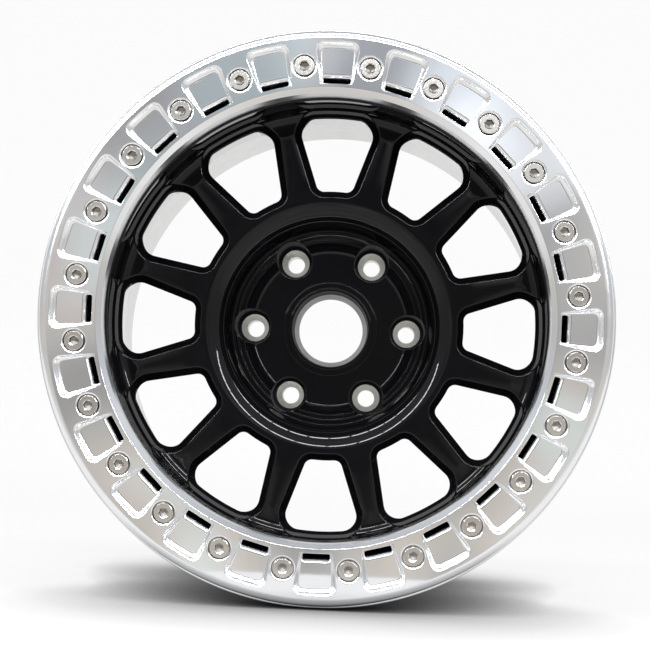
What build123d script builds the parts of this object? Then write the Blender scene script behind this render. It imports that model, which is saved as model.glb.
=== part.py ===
from build123d import *
import os
from math import cos, hypot, radians, sin, sqrt, tan

# Forged off-road wheel with a bolted clamp ring that locks the outer tyre bead.
# Millimetres. The wheel turns about Y, its street side faces -Y, +Z is up,
# and the origin is the centre of the face that bolts to the vehicle's hub.

# Rim, as sold: bead seat radius, width between the two bead faces, offset of the hub face
BEAD_SEAT_R = 218.3
RIM_WIDTH = 228.6
OFFSET = -5.0

# Barrel, measured from the bead seats
FLANGE_HEIGHT = 17.3
FLANGE_THICKNESS = 9.0
FLANGE_CHAMFER = 2.5
FLANGE_WIDTH = 21.0
REAR_SEAT_LENGTH = 24.0
SEAT_TAPER = 5.0
HUMP_HEIGHT = 2.2
HUMP_LENGTH = 12.0
RAMP_SETBACK = 63.0
DROP_DEPTH = 21.3
DROP_MARGIN = 26.0
DROP_WALL = 6.0
REAR_WALL = 5.0

# Outer bead: the shoulder behind it and the spigot that centres the clamp ring
BEAD_THICKNESS = 21.0
SHOULDER_HEIGHT = 14.7
SHOULDER_THICKNESS = 8.0
SHOULDER_RAMP = 7.0
SPIGOT_STEP = 2.3
SPIGOT_LENGTH = 4.0
SPIGOT_CHAMFER = 1.0

# Front well between the clamp ring and the spokes
WELL_WALL = 9.5
WELL_TAPER = 3.9
WELL_FOOT_ROUND = 8.0

# Spokes and the windows between them
WINDOW_COUNT = 12
SPOKE_FACE_HEIGHT = 77.0
SPOKE_DEPTH = 32.0
SPOKE_BACK_ROUND = 14.0
WINDOW_INNER_R = 118.5
WINDOW_LEDGE = 1.5
WINDOW_BEVEL = 6.0
SPOKE_ROOT_HALF = 16.3
SPOKE_TIP_HALF = 11.7
WINDOW_INNER_CORNER = 7.0
WINDOW_OUTER_CORNER = 12.0
WINDOW_BACK_DRAFT = 12.0

# Hub bowl, measured inwards from the windows: broad round, steep wall, raised bead and lug pad
HUB_LAND = 22.5
BOWL_LIP_ROUND = 22.0
BOWL_RUN = 8.5
BOWL_DEPTH = 26.0
BEAD_RING_GAP = 3.3
BEAD_RING_WIDTH = 2.4
BEAD_RING_HEIGHT = 2.4
PAD_MARGIN = 14.2
PAD_HEIGHT = 38.0
HUB_FACE_R = 86.0
HUB_BACK_R = 96.0
HUB_BACK_HEIGHT = 32.0
HUB_BACK_ROUND = 10.0

# Centre: stepped collar, cap hole from the front, hub bore from the back
COLLAR_OUTER_R = 42.7
COLLAR_STEP_R = 37.2
COLLAR_STEP_HEIGHT = 1.8
CAP_MOUTH_R = 34.5
CAP_SEAT_R = 33.2
CAP_HOLE_R = 29.2
CAP_LAND = 3.0
HUB_BORE_R = 53.05
HUB_BORE_DEPTH = 18.0
HUB_BORE_CHAMFER = 1.5

# Lug holes: well, 60 degree cone seat and stud hole
LUG_COUNT = 6
LUG_CIRCLE_R = 69.85
LUG_HOLE_R = 7.75
LUG_SEAT_R = 12.5
LUG_WELL_R = 15.5
LUG_SEAT_HEIGHT = 22.0
LUG_SEAT_HALF_ANGLE = 30.0

# Valve hole, through the bottom of the drop centre behind a window
VALVE_HOLE_R = 5.65
VALVE_SETBACK = 16.0

# Clamp ring
RING_OVERHANG = 21.7
RING_REVEAL = 1.8
RING_THICKNESS = 16.0
RING_LIP_LENGTH = 10.0
RING_LIP_STEP = 2.5
RING_BROW_ROUND = 7.0
RING_BORE_CHAMFER = 4.2
RING_BORE_CHAMFER_DEPTH = 6.5
RING_SPIGOT_GAP = 0.2
RING_CLAMP_GAP = 0.5

# Pockets in the clamp ring's face, each with a drain slot at its inner end
POCKET_COUNT = 24
POCKET_INNER_MARGIN = 6.9
POCKET_OUTER_MARGIN = 12.0
POCKET_INNER_HALF = 12.2
POCKET_OUTER_HALF = 18.6
POCKET_DEPTH = 4.0
POCKET_INNER_SLOPE = 1.2
POCKET_OUTER_SLOPE = 4.8
POCKET_INNER_CORNER = 1.0
POCKET_OUTER_CORNER = 7.0
POCKET_FLOOR_CORNER = 3.5
SLOT_WIDTH = 5.4
SLOT_END_GAP = 0.7
SLOT_CORNER = 1.2

# Clamp bolts: socket head cap screws, thread at its nominal size
BOLT_MARGIN = 10.3
BOLT_R = 5.0
BOLT_LENGTH = 25.0
BOLT_HEAD_R = 8.0
BOLT_HEAD_HEIGHT = 10.0
SOCKET_FLATS = 8.0
SOCKET_DEPTH = 5.0
THREAD_GAP = 0.05
BOLT_HOLE_GAP = 0.5
HEAD_GAP = 0.8
TAP_RUNOUT = 4.0

# How far a cutter stands out of the face it cuts
OVERCUT = 1.0

# Radii that follow from the sizes above
FLANGE_R = BEAD_SEAT_R + FLANGE_HEIGHT
SHOULDER_R = BEAD_SEAT_R + SHOULDER_HEIGHT
SPIGOT_R = BEAD_SEAT_R - SPIGOT_STEP
DROP_R = BEAD_SEAT_R - DROP_DEPTH
WELL_FOOT_R = DROP_R - WELL_WALL
WELL_LIP_R = WELL_FOOT_R - WELL_TAPER
WINDOW_OUTER_R = WELL_FOOT_R - WINDOW_LEDGE - WINDOW_BEVEL
BOWL_LIP_R = WINDOW_INNER_R - HUB_LAND
BOWL_FOOT_R = BOWL_LIP_R - BOWL_RUN
BEAD_RING_R = BOWL_FOOT_R - BEAD_RING_GAP
PAD_R = BEAD_RING_R - PAD_MARGIN
RING_R = BEAD_SEAT_R + RING_OVERHANG
RING_BORE_R = WELL_LIP_R + RING_REVEAL
BOLT_CIRCLE_R = BEAD_SEAT_R - BOLT_MARGIN
POCKET_INNER_R = RING_BORE_R + POCKET_INNER_MARGIN
POCKET_OUTER_R = RING_R - POCKET_OUTER_MARGIN

# Places along the axis that follow from the sizes above
FRONT_BEAD_Y = OFFSET - RIM_WIDTH / 2
REAR_BEAD_Y = OFFSET + RIM_WIDTH / 2
REAR_EDGE_Y = REAR_BEAD_Y + FLANGE_THICKNESS
SHOULDER_Y = FRONT_BEAD_Y + BEAD_THICKNESS
RING_SEAT_Y = FRONT_BEAD_Y - SPIGOT_LENGTH
RING_FACE_Y = RING_SEAT_Y - RING_THICKNESS
SPOKE_FACE_Y = -SPOKE_FACE_HEIGHT
SPOKE_BACK_Y = SPOKE_FACE_Y + SPOKE_DEPTH
PAD_Y = -PAD_HEIGHT
HEAD_SEAT_Y = RING_FACE_Y + BOLT_HEAD_HEIGHT
BOLT_TIP_Y = HEAD_SEAT_Y + BOLT_LENGTH
WINDOW_PITCH = 360 / WINDOW_COUNT
POCKET_PITCH = 360 / POCKET_COUNT


def turned(corners):
    """Solid of revolution about the wheel axis, from corners given as radius, y and corner radius."""
    points = [(radius, y) for radius, y, _ in corners]
    rounds = [corner for _, _, corner in corners]
    outline = FilletPolyline(*points, radius=rounds, close=True)
    return revolve(make_face(outline.edges()), axis=Axis.Y)


def around(shape, count, first=0.0):
    """Copies of a shape spaced evenly about the wheel axis."""
    return [Rot(0, first + 360 * i / count, 0) * shape for i in range(count)]


def across(y):
    """Plane square to the wheel axis, with its x along the wheel's X and its normal along +Y."""
    return Plane(origin=(0, y, 0), x_dir=(1, 0, 0), z_dir=(0, 1, 0))


def point_at_radius(start, end, radius):
    """Point where the line through two points, followed outwards, crosses a circle about the axis."""
    length = hypot(end[0] - start[0], end[1] - start[1])
    ux, uy = (end[0] - start[0]) / length, (end[1] - start[1]) / length
    along = start[0] * ux + start[1] * uy
    reach = sqrt(along**2 - start[0] ** 2 - start[1] ** 2 + radius**2) - along
    return (start[0] + reach * ux, start[1] + reach * uy)


def wedge(inner_r, outer_r, side, inner_corner, outer_corner):
    """Face bounded by two arcs about the axis and two straight sides, one given and one its mirror image."""
    inner = point_at_radius(*side, inner_r)
    outer = point_at_radius(*side, outer_r)
    sides = [Line(inner, outer), Line((outer[0], -outer[1]), (inner[0], -inner[1]))]
    ends = [
        ThreePointArc(outer, (outer_r, 0), (outer[0], -outer[1])),
        ThreePointArc((inner[0], -inner[1]), (inner_r, 0), inner),
    ]
    face = make_face(sides + ends)
    face = fillet(face.vertices().sort_by(lambda v: hypot(v.X, v.Y))[:2], inner_corner)
    return fillet(face.vertices().sort_by(lambda v: hypot(v.X, v.Y))[-2:], outer_corner)


def window_outline(grow):
    """Outline between two spokes, grown outwards on every side."""
    angle = radians(WINDOW_PITCH / 2)
    along = (cos(angle), sin(angle))
    inwards = (sin(angle), -cos(angle))
    side = []
    for radius, half in ((WINDOW_INNER_R, SPOKE_ROOT_HALF), (WINDOW_OUTER_R, SPOKE_TIP_HALF)):
        offset = half - grow
        side.append(tuple(radius * a + offset * n for a, n in zip(along, inwards)))
    return wedge(
        WINDOW_INNER_R - grow,
        WINDOW_OUTER_R + grow,
        side,
        WINDOW_INNER_CORNER + grow,
        WINDOW_OUTER_CORNER + grow,
    )


def window_cutter():
    """Opening between two spokes: bevelled at the front, drafted open towards the back."""
    waist_y = SPOKE_FACE_Y + WINDOW_BEVEL
    back_y = SPOKE_BACK_Y + SPOKE_BACK_ROUND
    back_grow = (back_y - waist_y) * tan(radians(WINDOW_BACK_DRAFT))
    rim = window_outline(WINDOW_BEVEL)
    waist = window_outline(0)
    entry = extrude(across(SPOKE_FACE_Y - WELL_FOOT_ROUND) * rim, WELL_FOOT_ROUND, dir=(0, 1, 0))
    bevel = loft([across(SPOKE_FACE_Y) * rim, across(waist_y) * waist], ruled=True)
    back = loft([across(waist_y) * waist, across(back_y) * window_outline(back_grow)], ruled=True)
    return entry + bevel + back


def lug_cutter():
    """Lug nut well, cone seat and stud hole."""
    seat_length = (LUG_SEAT_R - LUG_HOLE_R) / tan(radians(LUG_SEAT_HALF_ANGLE))
    cutter = turned(
        [
            (0, SPOKE_FACE_Y, 0),
            (LUG_WELL_R, SPOKE_FACE_Y, 0),
            (LUG_WELL_R, -LUG_SEAT_HEIGHT, 0),
            (LUG_SEAT_R, -LUG_SEAT_HEIGHT, 0),
            (LUG_HOLE_R, seat_length - LUG_SEAT_HEIGHT, 0),
            (LUG_HOLE_R, OVERCUT, 0),
            (0, OVERCUT, 0),
        ]
    )
    return Pos(LUG_CIRCLE_R, 0, 0) * cutter


def hub_corners():
    """Section of the centre, from the hub face's outer edge round the bore to the bowl's lip."""
    collar_top = PAD_Y - 2 * COLLAR_STEP_HEIGHT
    cap_land_y = -HUB_BORE_DEPTH - CAP_LAND
    cap_seat_y = cap_land_y - (CAP_SEAT_R - CAP_HOLE_R)
    bowl_y = SPOKE_FACE_Y + BOWL_DEPTH
    bead_ring_y = bowl_y - BEAD_RING_HEIGHT
    return [
        (HUB_FACE_R, 0, 0),
        (HUB_BORE_R + HUB_BORE_CHAMFER, 0, 0),
        (HUB_BORE_R, -HUB_BORE_CHAMFER, 0),
        (HUB_BORE_R, -HUB_BORE_DEPTH, 0),
        (CAP_HOLE_R, -HUB_BORE_DEPTH, 0),
        (CAP_HOLE_R, cap_land_y, 0),
        (CAP_SEAT_R, cap_seat_y, 0),
        (CAP_MOUTH_R, collar_top, 0),
        (COLLAR_STEP_R, collar_top, 0),
        (COLLAR_STEP_R, PAD_Y - COLLAR_STEP_HEIGHT, 0),
        (COLLAR_OUTER_R, PAD_Y - COLLAR_STEP_HEIGHT, 0),
        (COLLAR_OUTER_R, PAD_Y, 0),
        (PAD_R, PAD_Y, 0),
        (BEAD_RING_R - BEAD_RING_WIDTH, bead_ring_y, 0),
        (BEAD_RING_R, bead_ring_y, 0),
        (BEAD_RING_R, bowl_y, 0),
        (BOWL_FOOT_R, bowl_y, 0),
        (BOWL_LIP_R, SPOKE_FACE_Y, BOWL_LIP_ROUND),
    ]


def barrel_corners():
    """Section of the rim, from the foot of the front well round the outside to the back of the spokes."""
    seat_inner_r = BEAD_SEAT_R - REAR_SEAT_LENGTH * tan(radians(SEAT_TAPER))
    seat_inner_y = REAR_BEAD_Y - REAR_SEAT_LENGTH
    inside_r = seat_inner_r - REAR_WALL
    drop_inside_r = DROP_R - DROP_WALL
    drop_front_y = SHOULDER_Y + SHOULDER_THICKNESS + SHOULDER_RAMP
    drop_rear_y = SPOKE_BACK_Y + DROP_MARGIN
    ramp_rear_y = REAR_BEAD_Y - RAMP_SETBACK
    return [
        (WELL_FOOT_R, SPOKE_FACE_Y, WELL_FOOT_ROUND),
        (WELL_LIP_R, RING_SEAT_Y, 0),
        (SPIGOT_R - SPIGOT_CHAMFER, RING_SEAT_Y, 0),
        (SPIGOT_R, RING_SEAT_Y + SPIGOT_CHAMFER, 0),
        (SPIGOT_R, FRONT_BEAD_Y + RING_CLAMP_GAP, 0),
        (BEAD_SEAT_R, FRONT_BEAD_Y + RING_CLAMP_GAP, 0),
        (BEAD_SEAT_R, SHOULDER_Y, 0),
        (SHOULDER_R, SHOULDER_Y, 0),
        (SHOULDER_R, SHOULDER_Y + SHOULDER_THICKNESS, 0),
        (DROP_R, drop_front_y, 0),
        (DROP_R, drop_rear_y, 0),
        (seat_inner_r, ramp_rear_y, 0),
        (seat_inner_r, seat_inner_y - HUMP_LENGTH, 0),
        (seat_inner_r + HUMP_HEIGHT, seat_inner_y - HUMP_LENGTH / 2, 0),
        (seat_inner_r, seat_inner_y, 0),
        (BEAD_SEAT_R, REAR_BEAD_Y, 0),
        (FLANGE_R - FLANGE_CHAMFER, REAR_BEAD_Y, 0),
        (FLANGE_R, REAR_BEAD_Y + FLANGE_CHAMFER, 0),
        (FLANGE_R, REAR_EDGE_Y - FLANGE_CHAMFER, 0),
        (FLANGE_R - FLANGE_CHAMFER, REAR_EDGE_Y, 0),
        (FLANGE_R - FLANGE_WIDTH, REAR_EDGE_Y, 0),
        (inside_r, REAR_BEAD_Y, 0),
        (inside_r, ramp_rear_y, 0),
        (drop_inside_r, drop_rear_y, 0),
        (drop_inside_r, SPOKE_BACK_Y, SPOKE_BACK_ROUND),
        (WINDOW_INNER_R, SPOKE_BACK_Y, SPOKE_BACK_ROUND),
        (HUB_BACK_R, -HUB_BACK_HEIGHT, HUB_BACK_ROUND),
    ]


def forged_wheel():
    """The one-piece wheel: barrel, spokes and hub."""
    wheel = turned(hub_corners() + barrel_corners())
    cutters = around(window_cutter(), WINDOW_COUNT)
    cutters += around(lug_cutter(), LUG_COUNT)
    tap = Cylinder(BOLT_R + THREAD_GAP, BOLT_TIP_Y - RING_SEAT_Y + TAP_RUNOUT, rotation=(90, 0, 0))
    tap_y = (RING_SEAT_Y + BOLT_TIP_Y + TAP_RUNOUT) / 2
    cutters += around(Pos(BOLT_CIRCLE_R, tap_y, 0) * tap, POCKET_COUNT, POCKET_PITCH / 2)
    valve = Cylinder(VALVE_HOLE_R, 4 * DROP_WALL)
    cutters.append(Pos(0, SPOKE_BACK_Y + VALVE_SETBACK, DROP_WALL / 2 - DROP_R) * valve)
    return wheel - cutters


def pocket_outline(depth):
    """Outline of a ring pocket at a depth below the face: the sides and the outer end slope inwards."""
    share = depth / POCKET_DEPTH
    side = (
        (POCKET_INNER_R, POCKET_INNER_HALF - share * POCKET_INNER_SLOPE),
        (POCKET_OUTER_R, POCKET_OUTER_HALF - share * POCKET_OUTER_SLOPE),
    )
    outer_corner = POCKET_OUTER_CORNER + share * (POCKET_FLOOR_CORNER - POCKET_OUTER_CORNER)
    outer_r = POCKET_OUTER_R - share * POCKET_OUTER_SLOPE
    return wedge(POCKET_INNER_R, outer_r, side, POCKET_INNER_CORNER, outer_corner)


def pocket_cutter():
    """Ring pocket with the drain slot that goes through at its inner end."""
    mouth = across(RING_FACE_Y) * pocket_outline(0)
    floor = across(RING_FACE_Y + POCKET_DEPTH) * pocket_outline(POCKET_DEPTH)
    slot_half = POCKET_INNER_HALF - SLOT_END_GAP
    slot = Pos(POCKET_INNER_R + SLOT_WIDTH / 2, 0) * RectangleRounded(SLOT_WIDTH, 2 * slot_half, SLOT_CORNER)
    return loft([mouth, floor], ruled=True) + extrude(across(RING_FACE_Y) * slot, RING_THICKNESS + OVERCUT)


def bolt_seat_cutter():
    """Counterbore and clearance hole for one clamp bolt."""
    head_r = BOLT_HEAD_R + HEAD_GAP
    hole_r = BOLT_R + BOLT_HOLE_GAP
    cutter = turned(
        [
            (0, RING_FACE_Y, 0),
            (head_r, RING_FACE_Y, 0),
            (head_r, HEAD_SEAT_Y, 0),
            (hole_r, HEAD_SEAT_Y, 0),
            (hole_r, RING_SEAT_Y + OVERCUT, 0),
            (0, RING_SEAT_Y + OVERCUT, 0),
        ]
    )
    return Pos(BOLT_CIRCLE_R, 0, 0) * cutter


def beadlock_ring():
    """The clamp ring: flat pocketed face, stepped outer lip and a skirt that centres on the spigot."""
    lip_y = FRONT_BEAD_Y - RING_LIP_LENGTH
    brow_r = RING_R - RING_LIP_STEP
    ring = turned(
        [
            (RING_BORE_R, RING_SEAT_Y, 0),
            (RING_BORE_R, RING_FACE_Y + RING_BORE_CHAMFER_DEPTH, 0),
            (RING_BORE_R + RING_BORE_CHAMFER, RING_FACE_Y, 0),
            (brow_r, RING_FACE_Y, RING_BROW_ROUND),
            (brow_r, lip_y, 0),
            (RING_R, lip_y, 0),
            (RING_R, FRONT_BEAD_Y, 0),
            (SPIGOT_R + RING_SPIGOT_GAP, FRONT_BEAD_Y, 0),
            (SPIGOT_R + RING_SPIGOT_GAP, RING_SEAT_Y, 0),
        ]
    )
    cutters = around(pocket_cutter(), POCKET_COUNT)
    cutters += around(bolt_seat_cutter(), POCKET_COUNT, POCKET_PITCH / 2)
    return ring - cutters


def clamp_bolt():
    """Socket head cap screw, its head flush with the clamp ring's face."""
    screw = turned(
        [
            (0, RING_FACE_Y, 0),
            (BOLT_HEAD_R, RING_FACE_Y, 0),
            (BOLT_HEAD_R, HEAD_SEAT_Y, 0),
            (BOLT_R, HEAD_SEAT_Y, 0),
            (BOLT_R, BOLT_TIP_Y, 0),
            (0, BOLT_TIP_Y, 0),
        ]
    )
    hexagon = RegularPolygon(SOCKET_FLATS / 2, 6, major_radius=False)
    socket = extrude(across(RING_FACE_Y) * hexagon, SOCKET_DEPTH)
    return Pos(BOLT_CIRCLE_R, 0, 0) * (screw - socket)


def save(shape, node):
    """Write one node."""
    export_step(shape, f"parts/{node}.step")


os.makedirs("parts", exist_ok=True)
save(forged_wheel(), "forged_wheel")
save(beadlock_ring(), "beadlock_ring")
save(Compound(children=around(clamp_bolt(), POCKET_COUNT, POCKET_PITCH / 2)), "ring_bolts")
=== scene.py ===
"""Looks of a forged off-road wheel with a bolted clamp ring, laid out as an add-on and run as a script."""

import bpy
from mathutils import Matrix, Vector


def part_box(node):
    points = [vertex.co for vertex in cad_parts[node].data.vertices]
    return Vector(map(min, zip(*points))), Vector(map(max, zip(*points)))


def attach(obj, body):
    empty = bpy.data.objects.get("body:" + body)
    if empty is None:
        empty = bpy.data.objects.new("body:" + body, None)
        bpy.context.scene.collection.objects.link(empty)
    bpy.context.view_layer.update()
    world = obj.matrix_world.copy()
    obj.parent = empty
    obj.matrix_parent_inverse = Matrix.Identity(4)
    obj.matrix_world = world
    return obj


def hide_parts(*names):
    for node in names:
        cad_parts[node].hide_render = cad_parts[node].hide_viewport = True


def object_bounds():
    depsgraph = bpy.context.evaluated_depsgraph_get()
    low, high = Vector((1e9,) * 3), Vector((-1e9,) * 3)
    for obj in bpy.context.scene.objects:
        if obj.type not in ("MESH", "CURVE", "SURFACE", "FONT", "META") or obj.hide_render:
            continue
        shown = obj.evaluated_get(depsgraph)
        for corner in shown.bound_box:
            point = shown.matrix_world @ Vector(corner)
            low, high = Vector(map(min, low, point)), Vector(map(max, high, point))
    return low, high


bl_info = {
    "name": "Forged Wheel",
    "version": (1, 0, 0),
    "blender": (4, 5, 0),
    "location": "View3D > Sidebar > Forged Wheel",
    "description": "Builds a painted forged wheel, its polished clamp ring, the ring's screws and a stage",
    "category": "Add Mesh",
}

import random
from math import atan2, cos, floor, hypot, pi, radians, sin, sqrt, tan

import bpy
import numpy as np
from bpy.props import FloatProperty, FloatVectorProperty, IntProperty, PointerProperty
from mathutils import Euler, Vector
from mathutils.geometry import delaunay_2d_cdt

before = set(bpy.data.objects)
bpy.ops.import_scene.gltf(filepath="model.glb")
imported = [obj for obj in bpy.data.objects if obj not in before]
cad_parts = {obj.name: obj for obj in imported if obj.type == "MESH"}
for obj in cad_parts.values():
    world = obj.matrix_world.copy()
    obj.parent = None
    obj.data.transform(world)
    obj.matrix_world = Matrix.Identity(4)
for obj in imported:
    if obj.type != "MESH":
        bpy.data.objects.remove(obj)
CAD_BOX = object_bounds()

# Shapes are worked out in millimetres about the wheel's axis, Y, with the street side at -Y
MM = 0.001
RING_LOW, RING_HIGH = (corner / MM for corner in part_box("beadlock_ring"))
WHEEL_LOW, WHEEL_HIGH = (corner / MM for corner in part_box("forged_wheel"))

# Steps round the axis and round one screw or nut well, and the turn between two points of an arc
TURN_STEPS = 240
WELL_STEPS = 64
SCREW_STEPS = 48
ARC_STEP = radians(9)
# Points along a wedge's inner arc, inner corner, side, outer corner and outer arc
WINDOW_STEPS = (9, 8, 22, 9, 13)
POCKET_STEPS = (7, 6, 14, 8, 9)
# Free points stand this far apart and from an edge
FREE_STEP = 3.0
EDGE_CLEAR = 0.7
NO_POINTS = np.empty((0, 2))
FILL_TOLERANCE = 1e-5
# Points within one weld cell are one point; the cells are shifted so that round sizes don't fall between two
WELDS_PER_MM = 200
WELD_SHIFT = 0.37
# Step over which the slope of a relief is measured, and passes that bring a window's wall to the back
GRADE_STEP = 0.01
WALL_PASSES = 9

# Finishes by their place in a piece's list: of the wheel, of the ring and of the screws
GLOSS, BARE, SATIN, SHADED_SEAT = range(4)
POLISHED, TURNED, MILLED = range(3)
HEAD, SOCKET = range(2)

# Places along the axis
RING_FACE_Y = RING_LOW.y
RING_SEAT_Y = WHEEL_LOW.y
FRONT_BEAD_Y = RING_HIGH.y
REAR_EDGE_Y = WHEEL_HIGH.y
SPOKE_FACE_Y = -77.0
SPOKE_BACK_Y = -45.0
PAD_Y = -38.0
BOWL_Y = -51.0
LUG_SEAT_Y = -22.0

# Rounds that many edges share: outer edges, and the foot of a step
EDGE_ROUND = 0.3
FOOT_ROUND = 0.4

# Barrel
BEAD_SEAT_R = 218.3
FLANGE_R = WHEEL_HIGH.x
FLANGE_THICKNESS = 9.0
FLANGE_WIDTH = 21.0
REAR_SEAT_LENGTH = 24.0
SEAT_TAPER = 2.1
HUMP_HEIGHT = 2.2
HUMP_LENGTH = 12.0
RAMP_SETBACK = 63.0
DROP_R = 197.0
DROP_WALL = 6.0
DROP_MARGIN = 26.0
REAR_WALL = 5.0
BEAD_THICKNESS = 21.0
SHOULDER_R = 233.0
SHOULDER_THICKNESS = 8.0
SHOULDER_RAMP = 7.0
SPIGOT_R = 216.0
SPIGOT_CHAMFER = 1.0
SPIGOT_GAP = 0.2
BEAD_GAP = 0.5
FLANGE_ROUND = 4.0
FLANGE_INNER_ROUND = 1.0
BEAD_ROUND = 5.0
SEAT_ROUND = 0.5
HUMP_ROUND = 6.0
HUMP_FOOT_ROUND = 3.0
RAMP_ROUND = 30.0
SHOULDER_ROUND = 3.5
FLANGE_INNER_R = FLANGE_R - FLANGE_WIDTH
REAR_BEAD_Y = REAR_EDGE_Y - FLANGE_THICKNESS
SEAT_INNER_R = BEAD_SEAT_R - SEAT_TAPER
SEAT_INNER_Y = REAR_BEAD_Y - REAR_SEAT_LENGTH
INSIDE_R = SEAT_INNER_R - REAR_WALL
RAMP_REAR_Y = REAR_BEAD_Y - RAMP_SETBACK
RAMP_FRONT_Y = SPOKE_BACK_Y + DROP_MARGIN
SHOULDER_Y = FRONT_BEAD_Y + BEAD_THICKNESS
DROP_FRONT_Y = SHOULDER_Y + SHOULDER_THICKNESS + SHOULDER_RAMP

# Front well, windows and spokes
WELL_FOOT_R = 187.5
WELL_LIP_R = 183.6
WELL_LIP_ROUND = 1.6
SPOKE_BACK_ROUND = 14.0
WINDOW_COUNT = 12
WINDOW_INNER_R = 118.5
WINDOW_OUTER_R = 180.0
WINDOW_INNER_CORNER = 7.0
WINDOW_OUTER_CORNER = 12.0
WINDOW_DRAFT = tan(radians(12))
SPOKE_ROOT_HALF = 16.3
SPOKE_TIP_HALF = 11.7
CROWN_START_R = 116.0
CROWN_FULL_R = 132.0
CROWN_FADE_R = 166.0
CROWN_END_R = 177.0

# Hub
BOWL_LIP_R = 96.0
BOWL_FOOT_R = 87.5
BEAD_RING_R = 84.2
BEAD_RING_WIDTH = 2.4
BEAD_RING_HEIGHT = 2.4
BEAD_RING_ROUNDS = (0.6, 1.6)
BEAD_RING_SPREAD = 0.5
PAD_R = 70.0
LEDGE_R = 78.0
LEDGE_Y = -47.3
LEDGE_WIDTH = 0.8
PAD_INNER_R = 46.0
COLLAR_OUTER_R = 42.7
COLLAR_STEP_R = 37.2
COLLAR_STEP_HEIGHT = 1.8
COLLAR_ROUND = 1.0
COLLAR_SPREAD = 0.2
CAP_MOUTH_R = 34.5
CAP_SEAT_R = 33.2
CAP_HOLE_R = 29.2
CAP_LAND = 3.0
HUB_BORE_R = 53.05
HUB_BORE_DEPTH = 18.0
HUB_BORE_CHAMFER = 1.5
HUB_FACE_R = 86.0
HUB_FACE_RIM = 6.0
HUB_FACE_ROUND = 2.0
HUB_BACK_R = 96.0
HUB_BACK_Y = -32.0
HUB_BACK_ROUND = 10.0
LUG_COUNT = 6
LUG_CIRCLE_R = 69.85
LUG_HOLE_R = 7.75
LUG_SEAT_R = 12.5
LUG_SEAT_ANGLE = radians(30)
LUG_WELL_R = 15.5

# Radii that part the meshes of the lug pad, the bowl and the spokes, and those of the back of the spokes
LUG_ZONE_R = 86.3
SPOKE_ZONE_R = 110.4
BACK_ZONE = (100.0, 190.0)
# Share of a normal towards the axis from which the wall of the well counts as upright
WALL_LEAN = 0.98
# How near the rear edge the bare inside of the barrel ends
BARE_END = 0.1

# Clamp ring
RING_R = RING_HIGH.x
RING_BORE_R = 185.4
LIP_THICKNESS = 10.0
LIP_WIDTH = 2.5
RING_LIP_Y = FRONT_BEAD_Y - LIP_THICKNESS
BROW_R = RING_R - LIP_WIDTH
RING_CHAMFER = 4.2
RING_CHAMFER_DEPTH = 3.2
RING_CHAMFER_ROUND = 0.8
RING_BACK_ROUND = 2.5
LIP_ROUND = 1.2
LIP_FOOT_ROUND = 0.6
# Strips of the flat face beside the bore's bevel and beside the brow
BEVEL_LAND = 1.0
BROW_LAND = 0.2
POCKET_COUNT = 24
POCKET_INNER_R = 192.3
POCKET_OUTER_R = 228.0
POCKET_INNER_HALF = 13.3
POCKET_OUTER_HALF = 19.4
POCKET_INNER_CORNER = 1.2
POCKET_OUTER_CORNER = 7.0
POCKET_FLOOR_CORNER = 3.5
# Share of a pocket's side, from its mouth, at which the side is steepest
POCKET_CREST = 0.32
SLOT_WIDTH = 4.5
SLOT_GAP = 0.2
SLOT_CORNER = 1.2
SLOT_ROUND = 0.4

# Screws
SCREW_CIRCLE_R = 208.0
SCREW_R = 5.0
SCREW_HEAD_R = 8.0
SCREW_HEAD_HEIGHT = 10.0
SCREW_TIP_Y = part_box("ring_bolts")[1].y / MM
SCREW_TIP_CHAMFER = 1.2
SCREW_END_R = 0.01
SCREW_HOLE_GAP = 0.5
HEAD_GAP = 0.8
HEAD_ROUND = 0.2
SOCKET_LEAD = 0.35
SOCKET_LEAD_DEPTH = 0.5
SOCKET_LEAD_RISE = 1.2
SOCKET_POINT = 1.2
# The socket's tone and roughness beside the head's; its darker tone is a painted shade of the recess
SOCKET_PAINTED_SHADE = 0.45
SOCKET_ROUGHNESS = 3.0
TIGHTENING_SEED = 24

# The hall round the wheel: colours by height, from straight down to straight up, and the patches over them
HALL_HEIGHTS = (
    (0.0, (0.50, 0.45, 0.40)),
    (0.20, (0.90, 0.88, 0.86)),
    (0.38, (0.80, 0.79, 0.77)),
    (0.46, (0.58, 0.56, 0.53)),
    (0.56, (0.53, 0.52, 0.51)),
    (0.66, (0.56, 0.59, 0.63)),
    (0.75, (0.72, 0.74, 0.77)),
    (0.87, (0.66, 0.68, 0.72)),
    (1.0, (0.35, 0.36, 0.38)),
)
HALL_PATCHES = (
    (0.30, (0.36, 0.36, 0.36)),
    (0.42, (0.48, 0.48, 0.48)),
    (0.50, (0.54, 0.52, 0.49)),
    (0.58, (0.61, 0.57, 0.56)),
    (0.70, (0.66, 0.71, 0.70)),
)
HALL_PLAIN = (0.54, 0.54, 0.54)
PATCH_SCALE = 9.0
PATCH_DETAIL = 0.5
HALL_STRENGTH = 2.0
# Direction that the wheel's middle mirrors to the camera, and cosines where the patches begin and are full
MIRROR_DIRECTION = (-0.0335, -0.9950, 0.0939)
PATCH_REACH = (0.75, 0.90)
# Screens in the hall, pale or dark: direction, cosines where each begins and is full, and its level
HALL_SCREENS = (
    (MIRROR_DIRECTION, (0.978, 0.9914), 0.3),
    ((0.103, -0.957, 0.272), (0.9945, 0.9990), 2.2),
    ((-0.161, -0.947, 0.277), (0.9915, 0.9985), 0.62),
)
# Rows of lamps: y, height, spacing along the row, and length and width of one lamp, in metres
LAMP_ROWS = ((-0.93, 2.4, 0.41, (0.36, 0.20)), (-4.8, 2.4, 0.51, (0.46, 0.70)))
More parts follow.
